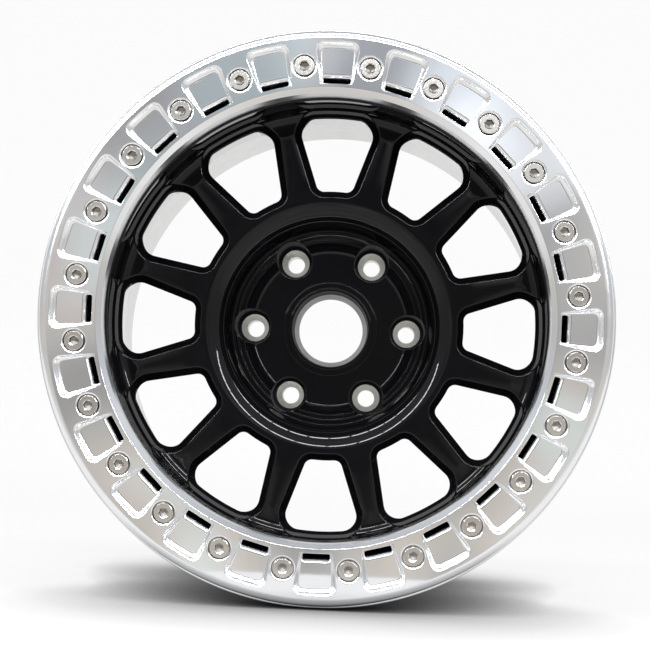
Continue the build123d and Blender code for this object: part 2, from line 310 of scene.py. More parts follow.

# Floor and backdrop, in metres, the floor's own share of white, and the shadow where the wheel touches it,
# partly a painted shadow from ambient occlusion: its reach and its power
FLOOR_HALF_WIDTH = 3.0
FLOOR_FRONT_Y = -0.36
BACKDROP_Y = 1.3
BACKDROP_HEIGHT = 2.6
BACKDROP_BEND = 0.5
BEND_STEPS = 12
FLOOR_WHITE = 0.8
CONTACT_REACH = 0.12
CONTACT_POWER = 2

# The photograph's frame is square; the axis is seen this far right of and above its middle, in its own pixels
FRAME_PIXELS = 650
AXIS_RIGHT = 1.75
AXIS_UP = 5.6
SENSOR_WIDTH = 36.0
# Plane from which the camera's distance is measured, at the ring's lip, in metres
LIP_Y = -0.130


def length(name, millimetres, description):
    """A size that a user can change."""
    return FloatProperty(name=name, description=description, default=millimetres * MM, min=0, unit="LENGTH")


def share(name, value, description, top=1.0):
    """A plain number that a user can change."""
    return FloatProperty(name=name, description=description, default=value, min=0, max=top)


def colour(name, value, description):
    """A colour that a user can change."""
    return FloatVectorProperty(
        name=name, description=description, default=value, min=0, max=1, size=3, subtype="COLOR"
    )


class WheelSettings(bpy.types.PropertyGroup):
    """Sizes and finish of the one-piece wheel."""

    bevel: length("Window bevel", 6.0, "Width of the bevel round each window")
    rim_round: length("Rim round", 2.0, "Round where a window's bevel meets the spoke face")
    waist_round: length("Waist round", 1.0, "Round at the narrowest line of a window")
    crown: length("Spoke crown", 0.3, "How far the middle of a spoke stands above its edges")
    foot_round: length("Well foot round", 9.0, "Hollow round between the spokes and the wall of the well")
    bowl_lip_round: length("Bowl lip round", 20.5, "Round where the spokes turn down into the bowl")
    bowl_foot_round: length("Bowl foot round", 1.0, "Hollow round at the foot of the bowl")
    pad_round: length("Pad round", 4.0, "Hollow round where the lug pad meets its cone")
    lug_round: length("Nut well round", 0.9, "Round at the mouth of each nut well")
    paint: colour("Paint", (0.002, 0.002, 0.0025), "Colour of the gloss paint")
    bare: colour("Bare metal", (0.80, 0.80, 0.79), "Colour of the machined, unpainted metal")
    # Painted shade: the nut seats take a darker copy of the bare metal, for the shade down in these recesses
    shaded_seat_metal: colour("Shaded seat metal", (0.74, 0.73, 0.70), "Colour of the metal in the nut seats")


class RingSettings(bpy.types.PropertyGroup):
    """Sizes and finish of the clamp ring."""

    pocket_depth: length("Pocket depth", 4.0, "Depth of the pockets in the face")
    inner_slope: length("Inner slope", 1.4, "Width of a pocket's sloping side at its inner end")
    outer_slope: length("Outer slope", 5.6, "Width of a pocket's sloping side at its outer end")
    slot_roll: length("Slot roll", 3.6, "Round where a pocket's floor rolls into its drain slot")
    brow_round: length("Brow round", 7.0, "Round at the outer edge of the face")
    seat_round: length("Screw seat round", 2.0, "Round at the mouth of each screw seat")
    metal: colour("Metal", (0.86, 0.87, 0.885), "Colour of the polished metal")
    roughness: share("Roughness", 0.05, "Roughness of the polished metal")
    edge_roughness: share("Edge roughness", 0.17, "Roughness of the slopes and rounds, harder to polish")


class ScrewSettings(bpy.types.PropertyGroup):
    """Sizes and finish of the clamp screws."""

    head_chamfer: length("Head chamfer", 0.4, "Chamfer round the head")
    socket_flats: length("Socket", 7.0, "Width of the hexagon socket across its flats")
    socket_depth: length("Socket depth", 5.0, "Depth of the hexagon socket")
    metal: colour("Metal", (0.74, 0.71, 0.67), "Colour of the steel")
    roughness: share("Roughness", 0.14, "Roughness of the steel")


class StageSettings(bpy.types.PropertyGroup):
    """Floor, lamps and camera."""

    distance: length("Distance", 928.0, "From the camera to the front of the ring's lip")
    drop: length("Camera drop", 92.5, "How far below the wheel's axis the camera is, in the picture")
    aside: length("Camera aside", 33.0, "How far right of the wheel's axis the camera is, in the picture")
    focal_length: FloatProperty(name="Lens", description="Focal length in millimetres", default=62.1, min=1)
    roll: FloatProperty(
        name="Roll", description="Clockwise turn of the picture", default=radians(2.5), subtype="ANGLE"
    )
    lamp_count: IntProperty(name="Lamps", description="Lamps in each row", default=23, min=1)
    lamp_radiance: share("Lamp radiance", 34.0, "Watts of a lamp per square metre and steradian", top=5000)
    floor: colour("Floor", (0.55, 0.55, 0.55), "Colour of the floor and the backdrop")


class Skin:
    """A mesh in the making: points welded where they meet, faces with the true normal at each corner."""

    def __init__(self):
        self.points = []
        self.known = {}
        self.faces = []
        self.normals = []
        self.finishes = []

    def point(self, place):
        """Number of the point at a place."""
        cell = tuple(floor(c * WELDS_PER_MM + WELD_SHIFT) for c in place)
        if cell not in self.known:
            self.known[cell] = len(self.points)
            self.points.append(tuple(c * MM for c in place))
        return self.known[cell]

    def face(self, corners, normals, finish):
        """One face, turned to the side that its normals point to."""
        kept = [k for k, corner in enumerate(corners) if corner != corners[k - 1]]
        if len(kept) < 3:
            return
        corners = [corners[k] for k in kept]
        normals = [normals[k] for k in kept]
        a, b, c = (np.array(self.points[corner]) for corner in (corners[0], corners[1], corners[-1]))
        if np.dot(np.cross(b - a, c - a), sum(normals)) < 0:
            corners.reverse()
            normals.reverse()
        self.faces.append(corners)
        self.normals.extend(normals)
        self.finishes.append(finish)

    def strip(self, rows, finish):
        """Faces between closed rows, each a pair of points and normals."""
        numbers = [[self.point(place) for place in places] for places, _ in rows]
        for k in range(len(rows) - 1):
            near, far = rows[k][1], rows[k + 1][1]
            for i in range(-1, len(numbers[k]) - 1):
                j = i + 1
                corners = (numbers[k][i], numbers[k][j], numbers[k + 1][j], numbers[k + 1][i])
                self.face(corners, (near[i], near[j], far[j], far[i]), finish)

    def fill(self, loops, free, lift, finish):
        """Faces over the area that an odd number of closed loops holds; lift gives height and normals."""
        flat, edges = [], []
        for loop in loops:
            first = len(flat)
            flat.extend(loop)
            edges.extend((first + i, first + (i + 1) % len(loop)) for i in range(len(loop)))
        if len(free):
            flat.extend(free[np.logical_and(inside(free, loops), clear_of(free, loops))])
        places, _, triangles = delaunay_2d_cdt([Vector(p) for p in flat], edges, [], 0, FILL_TOLERANCE)[:3]
        places = np.array(places)
        triangles = np.array(triangles)
        triangles = triangles[inside(places[triangles].mean(axis=1), loops)]
        points, normals = lift(places)
        numbers = [self.point(point) for point in points]
        for triangle in triangles:
            self.face([numbers[i] for i in triangle], [normals[i] for i in triangle], finish)

    def make(self, name, node, finishes):
        """The finished piece, in place of its node."""
        mesh = bpy.data.meshes.new(name)
        mesh.from_pydata(self.points, [], self.faces)
        for finish in finishes:
            mesh.materials.append(finish)
        mesh.polygons.foreach_set("material_index", self.finishes)
        mesh.shade_smooth()
        mesh.normals_split_custom_set([tuple(normal) for normal in self.normals])
        piece = bpy.data.objects.new(name, mesh)
        bpy.context.scene.collection.objects.link(piece)
        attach(piece, "root")
        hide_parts(node)
        return piece


def inside(points, loops):
    """Which points an odd number of closed loops holds."""
    odd = np.zeros(len(points), bool)
    for loop in loops:
        near = np.logical_and(points >= loop.min(axis=0), points <= loop.max(axis=0)).all(axis=1)
        x, z = points[near].T
        crossed = np.zeros(len(x), bool)
        for (x0, z0), (x1, z1) in zip(loop, np.roll(loop, -1, axis=0)):
            if z0 == z1:
                continue
            spans = (z0 > z) != (z1 > z)
            crossed ^= spans & (x < x0 + (z - z0) * (x1 - x0) / (z1 - z0))
        odd[near] ^= crossed
    return odd


def clear_of(points, loops):
    """Which points stand clear of every loop's own points."""
    clear = np.ones(len(points), bool)
    for loop in loops:
        low, high = loop.min(axis=0) - EDGE_CLEAR, loop.max(axis=0) + EDGE_CLEAR
        near = np.flatnonzero(np.logical_and(points >= low, points <= high).all(axis=1))
        gaps = np.hypot(*(points[near][:, None, :] - loop[None, :, :]).transpose(2, 0, 1))
        clear[near] &= gaps.min(axis=1) > EDGE_CLEAR if len(near) else True
    return clear


def section(corners, side):
    """Runs of radius, y and normal along corners of radius, y and round, parted at the sharp ones."""
    places = [np.array(corner[:2], float) for corner in corners]
    ways = [(b - a) / hypot(*(b - a)) for a, b in zip(places, places[1:])]
    lefts = [np.array((-way[1], way[0])) for way in ways]
    runs = [[(*places[0], *(side * lefts[0]))]]
    for place, corner, before, after, left, left_after in zip(
        places[1:], corners[1:], ways, ways[1:], lefts, lefts[1:]
    ):
        turn = atan2(before[0] * after[1] - before[1] * after[0], float(np.dot(before, after)))
        if corner[2] == 0 or turn == 0:
            runs[-1].append((*place, *(side * left)))
            runs.append([(*place, *(side * left_after))])
            continue
        reach = corner[2] * tan(abs(turn) / 2)
        spoke = left * corner[2] * (1 if turn > 0 else -1)
        centre = place - reach * before + spoke
        steps = max(3, round(abs(turn) / ARC_STEP))
        for k in range(steps + 1):
            c, s = cos(turn * k / steps), sin(turn * k / steps)
            spin = np.array(((c, -s), (s, c)))
            runs[-1].append((*(centre - spin @ spoke), *(side * (spin @ left))))
    runs[-1].append((*places[-1], *(side * lefts[-1])))
    return [np.array(run) for run in runs]


def about_axis(rows):
    """Rows of a section carried round the wheel's axis."""
    turns = np.arange(TURN_STEPS) * 2 * pi / TURN_STEPS
    c, s = np.cos(turns), np.sin(turns)
    level = np.ones(TURN_STEPS)
    return [
        (np.stack((radius * c, y * level, radius * s), 1), np.stack((out * c, along * level, out * s), 1))
        for radius, y, out, along in rows
    ]


def turned(skin, corners, finish, side=1):
    """A section turned about the wheel's axis."""
    for run in section(corners, side):
        skin.strip(about_axis(run), finish)


def turned_at(skin, centre, run, steps, finish):
    """One run of a section turned about an axis of its own."""
    _, out = circle(1, steps)
    rows = [(upright(centre + out * radius, y), upright(out * lean, along)) for radius, y, lean, along in run]
    skin.strip(rows, finish)


def round_the_axis(count, start=0.0):
    """Angles of evenly spaced copies."""
    return [2 * pi * (k + start) / count for k in range(count)]


def first_past(rows, radius):
    """Number of a section's first row beyond a radius."""
    return int(np.argmax(rows[:, 0] > radius))


def spun(points, angle):
    """Points of the wheel's plane turned about the axis."""
    c, s = cos(angle), sin(angle)
    return points @ np.array(((c, s), (-s, c)))


def circle(radius, steps, centre=(0, 0)):
    """Closed loop of a circle, with its outward normals."""
    turns = np.arange(steps) * 2 * pi / steps
    normals = np.stack((np.cos(turns), np.sin(turns)), 1)
    return normals * radius + centre, normals


def quarter(steps):
    """Angles through a quarter turn."""
    return np.linspace(0, pi / 2, steps + 1)


def sweep(start, end, steps):
    """Unit vectors from one angle to another."""
    turns = np.linspace(start, end, steps)
    return np.stack((np.cos(turns), np.sin(turns)), 1)


def wedge(inner_r, outer_r, side, inner_corner, outer_corner, steps):
    """Closed loop between two arcs about the axis and two straight sides, with its outward normals."""
    start, end = (np.array(p) for p in side)
    way = (end - start) / hypot(*(end - start))
    out = np.array((-way[1], way[0]))

    def corner_centre(radius, corner):
        """Centre of a corner's round, beside the straight side and on a circle."""
        on_side = start - corner * out
        along = float(np.dot(on_side, way))
        return on_side + (sqrt(along**2 - float(np.dot(on_side, on_side)) + radius**2) - along) * way

    inner = corner_centre(inner_r + inner_corner, inner_corner)
    outer = corner_centre(outer_r - outer_corner, outer_corner)
    inner_turn, outer_turn, side_turn = atan2(*inner[::-1]), atan2(*outer[::-1]), atan2(*out[::-1])
    ray = sweep(0, inner_turn, steps[0])[:-1]
    turn_in = sweep(pi + inner_turn, side_turn, steps[1])
    turn_out = sweep(side_turn, outer_turn, steps[3])
    ray_out = sweep(outer_turn, 0, steps[4])[1:]
    corners = (turn_in * inner_corner + inner, turn_out * outer_corner + outer)
    run = np.linspace(corners[0][-1], corners[1][0], steps[2])[1:-1]
    points = np.vstack((ray * inner_r, corners[0], run, corners[1], ray_out * outer_r))
    normals = np.vstack((-ray, turn_in, np.tile(out, (len(run), 1)), turn_out, ray_out))
    mirror = np.array((1, -1))
    return tuple(np.vstack((half, (half * mirror)[-2:0:-1])) for half in (points, normals))


def upright(points, y):
    """Points of the wheel's plane at a height along the axis."""
    return np.stack((points[:, 0], np.broadcast_to(y, len(points)), points[:, 1]), 1)


def unit(vectors):
    """Vectors at length 1."""
    return vectors / np.linalg.norm(vectors, axis=1)[:, None]


def level_lift(y, along):
    """Lift for a flat area square to the axis."""
    return lambda places: (upright(places, y), upright(np.zeros_like(places), along))


def smooth(value, start, end):
    """Smooth step from 0 to 1."""
    t = np.clip((value - start) / (end - start), 0, 1)
    return t * t * (3 - 2 * t)


class Slope:
    """The side of a turned section that faces one way along the axis, as a height over the wheel's plane."""

    def __init__(self, rows, relief=None):
        self.rows = rows
        self.relief = relief

    def height(self, places):
        """Height of the surface over points of the wheel's plane."""
        y = np.interp(np.hypot(*places.T), self.rows[:, 0], self.rows[:, 1])
        return y if self.relief is None else y + self.relief(places)

    def lift(self, places):
        """The points on the surface, with their normals."""
        radius = np.hypot(*places.T)
        out = np.interp(radius, self.rows[:, 0], self.rows[:, 2])
        along = np.interp(radius, self.rows[:, 0], self.rows[:, 3])
        facing = np.sign(along)
        grade = (-out / along / radius)[:, None] * places
        if self.relief is not None:
            for axis in range(2):
                step = np.eye(2)[axis] * GRADE_STEP
                grade[:, axis] += (self.relief(places + step) - self.relief(places - step)) / (2 * GRADE_STEP)
        normals = unit(upright(-grade * facing[:, None], facing))
        return upright(places, self.height(places)), normals

    def circles(self):
        """Free points on the circles of the section's own rows and between them."""
        radii = [self.rows[0, 0]]
        for radius in self.rows[1:, 0]:
            pieces = max(1, round((radius - radii[-1]) / FREE_STEP))
            radii.extend(np.linspace(radii[-1], radius, pieces + 1)[1:])
        return np.vstack([circle(radius, TURN_STEPS)[0] for radius in radii[1:-1]])

    def ends(self):
        """The two circles that bound the surface."""
        return [circle(self.rows[k, 0], TURN_STEPS)[0] for k in (0, -1)]


def window(centre_angle):
    """Loop of a window's waist, the narrowest line between two spokes, with its outward normals."""
    angle = pi / WINDOW_COUNT
    along, inwards = np.array((cos(angle), sin(angle))), np.array((sin(angle), -cos(angle)))
    ends = ((WINDOW_INNER_R, SPOKE_ROOT_HALF), (WINDOW_OUTER_R, SPOKE_TIP_HALF))
    side = [radius * along + half * inwards for radius, half in ends]
    corners = (WINDOW_INNER_CORNER, WINDOW_OUTER_CORNER)
    points, normals = wedge(WINDOW_INNER_R, WINDOW_OUTER_R, side, *corners, WINDOW_STEPS)
    return spun(points, centre_angle), spun(normals, centre_angle)


def spoke_relief(height, bevel):
    """Crown along the middle of each spoke, fading out at both ends."""

    def relief(places):
        """Height of the crown over points of the wheel's plane."""
        radius = np.hypot(*places.T)
        turn = np.arctan2(places[:, 1], places[:, 0]) + pi / WINDOW_COUNT
        pitch = 2 * pi / WINDOW_COUNT
        aside = radius * np.sin((turn + pitch / 2) % pitch - pitch / 2)
        half = np.interp(
            radius, (WINDOW_INNER_R, WINDOW_OUTER_R), (SPOKE_ROOT_HALF - bevel, SPOKE_TIP_HALF - bevel)
        )
        fade = smooth(radius, CROWN_START_R, CROWN_FULL_R) * (1 - smooth(radius, CROWN_FADE_R, CROWN_END_R))
        return -height * fade * np.clip(1 - (aside / half) ** 2, 0, 1)

    return relief


def front_rows(settings):
    """Section of the street side, from the lug pad up the bowl, over the spokes and up the well."""
    ring_top = BOWL_Y - BEAD_RING_HEIGHT
    corners = [
        (PAD_INNER_R, PAD_Y, 0),
        (PAD_R, PAD_Y, settings.pad_round / MM),
        (LEDGE_R - LEDGE_WIDTH / 2, LEDGE_Y, EDGE_ROUND),
        (LEDGE_R + LEDGE_WIDTH / 2, LEDGE_Y, EDGE_ROUND),
        (BEAD_RING_R - BEAD_RING_WIDTH, ring_top, BEAD_RING_ROUNDS[0]),
        (BEAD_RING_R, ring_top, BEAD_RING_ROUNDS[1]),
        (BEAD_RING_R + BEAD_RING_SPREAD, BOWL_Y, FOOT_ROUND),
        (BOWL_FOOT_R, BOWL_Y, settings.bowl_foot_round / MM),
        (BOWL_LIP_R, SPOKE_FACE_Y, settings.bowl_lip_round / MM),
        (WELL_FOOT_R, SPOKE_FACE_Y, settings.foot_round / MM),
        (WELL_LIP_R, RING_SEAT_Y, WELL_LIP_ROUND),
        (SPIGOT_R - SPIGOT_CHAMFER, RING_SEAT_Y, 0),
    ]
    return np.vstack(section(corners, -1))


def lug_wells():
    """Centres of the lug holes."""
    return [spun(np.array(((LUG_CIRCLE_R, 0.0),)), angle)[0] for angle in round_the_axis(LUG_COUNT)]


def wheel_front(skin, settings):
    """Street side of the wheel: pad with its nut wells, bowl, spokes with their windows, wall of the well."""
    rows = front_rows(settings)
    pad_end = first_past(rows, LUG_ZONE_R)
    bowl_end = first_past(rows, SPOKE_ZONE_R)
    foot_end = int(np.argmax(np.logical_and(rows[:, 0] > WINDOW_OUTER_R, rows[:, 2] < -WALL_LEAN)))
    pad = Slope(rows[: pad_end + 1])
    spokes = Slope(rows[bowl_end : foot_end + 1], spoke_relief(settings.crown / MM, settings.bevel / MM))
    skin.strip(about_axis(rows[pad_end : bowl_end + 1]), GLOSS)
    skin.strip(about_axis(rows[foot_end:]), GLOSS)
    mouths = [nut_well(skin, centre, pad, settings.lug_round / MM) for centre in lug_wells()]
    skin.fill(pad.ends() + mouths, pad.circles(), pad.lift, GLOSS)
    rims = [window_edge(skin, angle, spokes, settings) for angle in round_the_axis(WINDOW_COUNT)]
    skin.fill(spokes.ends() + rims, spokes.circles(), spokes.lift, GLOSS)


def nut_well(skin, centre, pad, mouth_round):
    """Wall, cone seat and stud hole of one lug hole; gives back the loop of its mouth."""
    mouth, out = circle(LUG_WELL_R + mouth_round, WELL_STEPS, centre)
    places, normals = pad.lift(mouth)
    wall = upright(-out, 0)
    rows = [(places, normals)]
    for turn in quarter(4)[1:]:
        ring = centre + out * (LUG_WELL_R + mouth_round * (1 - sin(turn)))
        lean = unit(normals * cos(turn) + wall * sin(turn))
        rows.append((upright(ring, places[:, 1] + mouth_round * (1 - cos(turn))), lean))
    rows.append((upright(centre + out * LUG_WELL_R, LUG_SEAT_Y), wall))
    skin.strip(rows[:2], GLOSS)
    skin.strip(rows[1:], SATIN)
    corners = [
        (LUG_WELL_R, LUG_SEAT_Y, 0),
        (LUG_SEAT_R, LUG_SEAT_Y, 0),
        (LUG_HOLE_R, LUG_SEAT_Y + (LUG_SEAT_R - LUG_HOLE_R) / tan(LUG_SEAT_ANGLE), EDGE_ROUND),
        (LUG_HOLE_R, 0, 0),
    ]
    foot, seat = section(corners, 1)
    turned_at(skin, centre, foot, WELL_STEPS, SATIN)
    # The seat and stud hole carry the darker metal, a painted shade of the recess
    turned_at(skin, centre, seat, WELL_STEPS, SHADED_SEAT)
    return mouth


def window_edge(skin, angle, spokes, settings):
    """Bevel and inner wall of one window; gives back the loop where the bevel meets the spoke face."""
    waist, out = window(angle)
    bevel = settings.bevel / MM
    waist_y = SPOKE_FACE_Y + bevel
    corners = [
        (2 * bevel, SPOKE_FACE_Y, 0),
        (bevel, SPOKE_FACE_Y, settings.rim_round / MM),
        (0, waist_y, settings.waist_round / MM),
        (WINDOW_DRAFT * bevel, waist_y + bevel, 0),
    ]
    run = section(corners, 1)[0][1:]
    rim = waist + out * run[0, 0]
    places, face = spokes.lift(rim)
    rise = places[:, 1] - SPOKE_FACE_Y
    rows = [(places, face)]
    for grow, y, lean, along in run[1:]:
        fade = 1 - smooth(y, SPOKE_FACE_Y, SPOKE_FACE_Y + settings.rim_round / MM)
        normals = unit(upright(out * lean, along) + (face - (0, -1, 0)) * fade)
        rows.append((upright(waist + out * grow, y + rise), normals))
    edge = window_back(angle, settings)
    rows.append((upright(edge, back_slope().height(edge)), rows[-1][1]))
    skin.strip(rows, GLOSS)
    return rim


def window_back(angle, settings):
    """Loop where a window's wall meets the back of the spokes."""
    waist, out = window(angle)
    waist_y = SPOKE_FACE_Y + settings.bevel / MM
    back = back_slope()
    edge = waist
    for _ in range(WALL_PASSES):
        edge = waist + out * ((back.height(edge) - waist_y) * WINDOW_DRAFT)[:, None]
    return edge


def inside_rows():
    """Section of the vehicle side, from the hub face over the back of the spokes and through the barrel."""
    corners = [
        (HUB_FACE_R - HUB_FACE_RIM, 0, 0),
        (HUB_FACE_R, 0, HUB_FACE_ROUND),
        (HUB_BACK_R, HUB_BACK_Y, HUB_BACK_ROUND),
        (WINDOW_INNER_R, SPOKE_BACK_Y, SPOKE_BACK_ROUND),
        (DROP_R - DROP_WALL, SPOKE_BACK_Y, SPOKE_BACK_ROUND),
        (DROP_R - DROP_WALL, RAMP_FRONT_Y, RAMP_ROUND),
        (INSIDE_R, RAMP_REAR_Y, RAMP_ROUND),
        (INSIDE_R, REAR_BEAD_Y, BEAD_ROUND),
        (FLANGE_INNER_R, REAR_EDGE_Y, FLANGE_INNER_ROUND),
        (FLANGE_R, REAR_EDGE_Y, 0),
    ]
    return np.vstack(section(corners, 1))


def outside_corners():
    """Section of the barrel's outside, from the rear flange over the drop channel to the ring's seat."""
    return [
        (FLANGE_INNER_R, REAR_EDGE_Y, 0),
        (FLANGE_R, REAR_EDGE_Y, FLANGE_ROUND),
        (FLANGE_R, REAR_BEAD_Y, FLANGE_ROUND),
        (BEAD_SEAT_R, REAR_BEAD_Y, BEAD_ROUND),
        (SEAT_INNER_R, SEAT_INNER_Y, SEAT_ROUND),
        (SEAT_INNER_R + HUMP_HEIGHT, SEAT_INNER_Y - HUMP_LENGTH / 2, HUMP_ROUND),
        (SEAT_INNER_R, SEAT_INNER_Y - HUMP_LENGTH, HUMP_FOOT_ROUND),
        (SEAT_INNER_R, RAMP_REAR_Y, RAMP_ROUND),
        (DROP_R, RAMP_FRONT_Y, RAMP_ROUND),
        (DROP_R, DROP_FRONT_Y, BEAD_ROUND),
        (SHOULDER_R, SHOULDER_Y + SHOULDER_THICKNESS, SHOULDER_ROUND),
        (SHOULDER_R, SHOULDER_Y, SHOULDER_ROUND),
        (BEAD_SEAT_R, SHOULDER_Y, BEAD_ROUND),
        (BEAD_SEAT_R, FRONT_BEAD_Y + BEAD_GAP, EDGE_ROUND),
        (SPIGOT_R, FRONT_BEAD_Y + BEAD_GAP, EDGE_ROUND),
        (SPIGOT_R, RING_SEAT_Y + SPIGOT_CHAMFER, 0),
        (SPIGOT_R - SPIGOT_CHAMFER, RING_SEAT_Y, 0),
    ]


def back_slope():
    """Back of the spokes, as a height over the wheel's plane."""
    rows = inside_rows()
    first, last = (first_past(rows, radius) for radius in BACK_ZONE)
    return Slope(rows[first : last + 1])


def wheel_back(skin, settings):
    """Vehicle side of the wheel: hub face, back of the spokes and the barrel inside and out."""
    rows = inside_rows()
    first, last = (first_past(rows, radius) for radius in BACK_ZONE)
    flange = int(np.argmax(rows[:, 1] > REAR_EDGE_Y - BARE_END))
    spokes = back_slope()
    skin.strip(about_axis(rows[: first + 1]), GLOSS)
    skin.strip(about_axis(rows[last : flange + 1]), BARE)
    turned(skin, outside_corners(), GLOSS)
    rims = [window_back(angle, settings) for angle in round_the_axis(WINDOW_COUNT)]
    skin.fill(spokes.ends() + rims, spokes.circles(), spokes.lift, GLOSS)
    holes = [circle(LUG_HOLE_R, WELL_STEPS, centre)[0] for centre in lug_wells()]
    radii = (HUB_BORE_R + HUB_BORE_CHAMFER, HUB_FACE_R - HUB_FACE_RIM)
    rings = [circle(radius, TURN_STEPS)[0] for radius in radii]
    skin.fill(rings + holes, NO_POINTS, level_lift(0, 1), BARE)


def wheel_centre(skin):
    """Hub bore, cap hole and the stepped collar round it."""
    collar_top = PAD_Y - 2 * COLLAR_STEP_HEIGHT
    cap_land_y = -HUB_BORE_DEPTH - CAP_LAND
    cap_seat_y = cap_land_y - (CAP_SEAT_R - CAP_HOLE_R)
    bore = [
        (HUB_BORE_R + HUB_BORE_CHAMFER, 0, 0),
        (HUB_BORE_R, -HUB_BORE_CHAMFER, 0),
        (HUB_BORE_R, -HUB_BORE_DEPTH, FOOT_ROUND),
        (CAP_HOLE_R, -HUB_BORE_DEPTH, 0),
        (CAP_HOLE_R, cap_land_y, EDGE_ROUND),
        (CAP_SEAT_R, cap_seat_y, 0),
    ]
    collar = [
        (CAP_MOUTH_R, collar_top, 0),
        (COLLAR_STEP_R, collar_top, COLLAR_ROUND),
        (COLLAR_STEP_R + COLLAR_SPREAD, PAD_Y - COLLAR_STEP_HEIGHT, FOOT_ROUND),
        (COLLAR_OUTER_R, PAD_Y - COLLAR_STEP_HEIGHT, COLLAR_ROUND),
        (COLLAR_OUTER_R + COLLAR_SPREAD, PAD_Y, FOOT_ROUND),
        (PAD_INNER_R, PAD_Y, 0),
    ]
    turned(skin, bore, BARE, -1)
    turned(skin, [(CAP_SEAT_R, cap_seat_y, 0), (CAP_MOUTH_R, collar_top, 0)], SATIN, -1)
    turned(skin, collar, GLOSS, -1)


def pocket_loops(settings):
    """Loops of a pocket's mouth and floor, with as many points each."""
    loops = []
    for at_floor, corner in enumerate((POCKET_OUTER_CORNER, POCKET_FLOOR_CORNER)):
        inner_half = POCKET_INNER_HALF - at_floor * settings.inner_slope / MM
        outer_half = POCKET_OUTER_HALF - at_floor * settings.outer_slope / MM
        inner_r = POCKET_INNER_R + at_floor * settings.inner_slope / MM / 2
        outer_r = POCKET_OUTER_R - at_floor * settings.outer_slope / MM
        side = ((POCKET_INNER_R, inner_half), (POCKET_OUTER_R, outer_half))
        loops.append(wedge(inner_r, outer_r, side, POCKET_INNER_CORNER, corner, POCKET_STEPS)[0])
    return loops


def ring_pocket(skin, angle, settings):
    """Sloping sides, floor and drain slot of one pocket; gives back the loop of its mouth."""
    mouth, floor_loop = (spun(loop, angle) for loop in pocket_loops(settings))
    inwards = floor_loop - mouth
    width = np.linalg.norm(inwards, axis=1)
    towards = inwards / width[:, None]
    depth = settings.pocket_depth / MM
    rows = []
    for t in np.concatenate((np.linspace(0, POCKET_CREST, 7), np.linspace(POCKET_CREST, 1, 10)[1:])):
        rate = 2 * (t / POCKET_CREST if t < POCKET_CREST else (1 - t) / (1 - POCKET_CREST))
        fall = t * t / POCKET_CREST if t < POCKET_CREST else 1 - (1 - t) ** 2 / (1 - POCKET_CREST)
        grade = (depth * rate / width)[:, None]
        normals = unit(upright(towards * grade, -1))
        rows.append((upright(mouth + inwards * t, RING_FACE_Y + depth * fall), normals))
    skin.strip(rows, MILLED)
    slot = drain_slot(skin, angle, settings)
    skin.fill([floor_loop, slot], NO_POINTS, level_lift(RING_FACE_Y + depth, -1), POLISHED)
    return mouth


def drain_slot(skin, angle, settings):
    """Walls of the slot at a pocket's inner end; gives back the loop of its mouth."""
    slope = settings.inner_slope / MM
    half = POCKET_INNER_HALF - slope - SLOT_GAP - SLOT_ROUND
    start = POCKET_INNER_R + slope / 2 + SLOT_GAP + SLOT_ROUND
    centres = (
        (start + SLOT_WIDTH - SLOT_CORNER, half - SLOT_CORNER, 0),
        (start + SLOT_CORNER, half - SLOT_CORNER, pi / 2),
        (start + SLOT_CORNER, SLOT_CORNER - half, pi),
        (start + SLOT_WIDTH - SLOT_CORNER, SLOT_CORNER - half, 3 * pi / 2),
    )
    cores, normals = [], []
    for x, z, turn in centres:
        arc = sweep(turn, turn + pi / 2, 6)
        cores.append(arc * SLOT_CORNER + (x, z))
        normals.append(arc)
    wall, out = np.vstack(cores), np.vstack(normals)
    roll = SLOT_ROUND + (settings.slot_roll / MM - SLOT_ROUND) * np.clip(out[:, 0], 0, 1) ** 2
    wall, out = spun(wall, angle), spun(out, angle)
    floor_y = RING_FACE_Y + settings.pocket_depth / MM
    rows = []
    for turn in quarter(6):
        lean = unit(upright(-out * sin(turn), -cos(turn)))
        reach = (roll * (1 - sin(turn)))[:, None]
        rows.append((upright(wall + out * reach, floor_y + roll * (1 - cos(turn))), lean))
    rows.append((upright(wall, RING_SEAT_Y), upright(-out, 0)))
    skin.strip(rows, MILLED)
    return wall + out * roll[:, None]


def screw_seat(skin, centre, settings):
    """Seat of one screw head, rounded at its mouth; gives back the loop of the mouth."""
    head_r = SCREW_HEAD_R + HEAD_GAP
    hole_r = SCREW_R + SCREW_HOLE_GAP
    mouth_round = settings.seat_round / MM
    corners = [
        (head_r + 2 * mouth_round, RING_FACE_Y, 0),
        (head_r, RING_FACE_Y, mouth_round),
        (head_r, RING_FACE_Y + SCREW_HEAD_HEIGHT, 0),
        (hole_r, RING_FACE_Y + SCREW_HEAD_HEIGHT, 0),
        (hole_r, RING_SEAT_Y, 0),
    ]
    runs = section(corners, 1)
    runs[0] = runs[0][1:]
    for run in runs:
        turned_at(skin, centre, run, SCREW_STEPS, MILLED)
    return circle(runs[0][0, 0], SCREW_STEPS, centre)[0]


def screw_places():
    """Centre of each screw, halfway between two pockets."""
    return [SCREW_CIRCLE_R * np.array((cos(turn), sin(turn))) for turn in round_the_axis(POCKET_COUNT, 0.5)]


